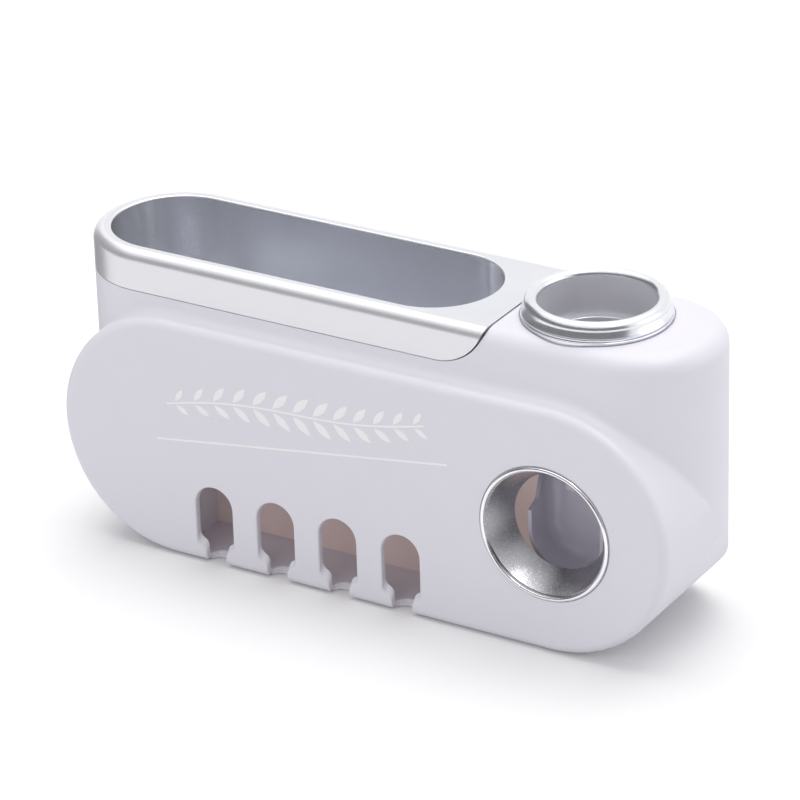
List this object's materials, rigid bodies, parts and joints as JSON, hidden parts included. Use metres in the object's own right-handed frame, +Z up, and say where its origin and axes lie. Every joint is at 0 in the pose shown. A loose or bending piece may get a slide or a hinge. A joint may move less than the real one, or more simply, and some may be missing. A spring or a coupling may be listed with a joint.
{
  "type": "toothbrush holder with toothpaste dispenser",
  "caption": "Wall-mounted toothbrush holder: pill-shaped front with keyhole brush slots, lift-out storage tray, and a push-lever pump that takes a toothpaste tube from above.",
  "frame": {"origin": "on the wall, at the middle of the wall plate's adhesive face", "axes": "+X along the body to the right seen from the front, +Y into the wall, +Z up"},
  "size_m": [0.249, 0.0742, 0.1197],
  "materials": {
    "shell": "satin moulded ABS",
    "silver": "satin silver plated ABS",
    "beige": "matt moulded ABS",
    "silicone": "soft translucent silicone",
    "paddle": "glossy moulded plastic",
    "steel": "stainless",
    "pad": "clear adhesive gel"
  },
  "bodies": {
    "housing": {"body_shell": "shell", "rear_cover": "beige", "cover_screws": "steel", "chamber_back": "beige", "front_funnel": "silver", "tube_collar": "silver", "tube_cup": "shell", "neck_sleeve": "silicone", "pump_block": "shell", "block_screws": "steel", "inlet_valve": "silicone", "pump_diaphragm": "silicone", "diaphragm_ring": "shell", "ring_screws": "steel", "return_spring": "steel", "nozzle": "shell", "outlet_valve": "silicone", "lever_pin": "steel", "pin_clip": "steel", "wall_plate": "shell", "adhesive_pad": "pad"},
    "tray": {"storage_tray": "silver"},
    "lever": {"push_lever": "paddle"},
    "button": {"pump_button": "shell"}
  },
  "joints": [
    {"name": "lever_swing", "type": "hinge", "parent": "housing", "child": "lever", "pos_m": [0.0777, -0.0404, -0.0037], "axis": [1, 0, 0], "range_deg": [0, 18], "stiffness_Nm_per_rad": 0.05, "springref_deg": -5.73},
    {"name": "button_lift", "type": "slide", "parent": "housing", "child": "button", "axis": [0, 0, 1], "range_m": [0, 0.00443], "deforming": ["pump_diaphragm", "return_spring"]},
    {"name": "tray_lift", "type": "slide", "parent": "housing", "child": "tray", "axis": [0, 0, 1], "range_m": [0, 0.07]}
  ],
  "couplings": [
    {"joint": "lever_swing", "follows": "button_lift", "rad_per_m": 70.9}
  ]
}
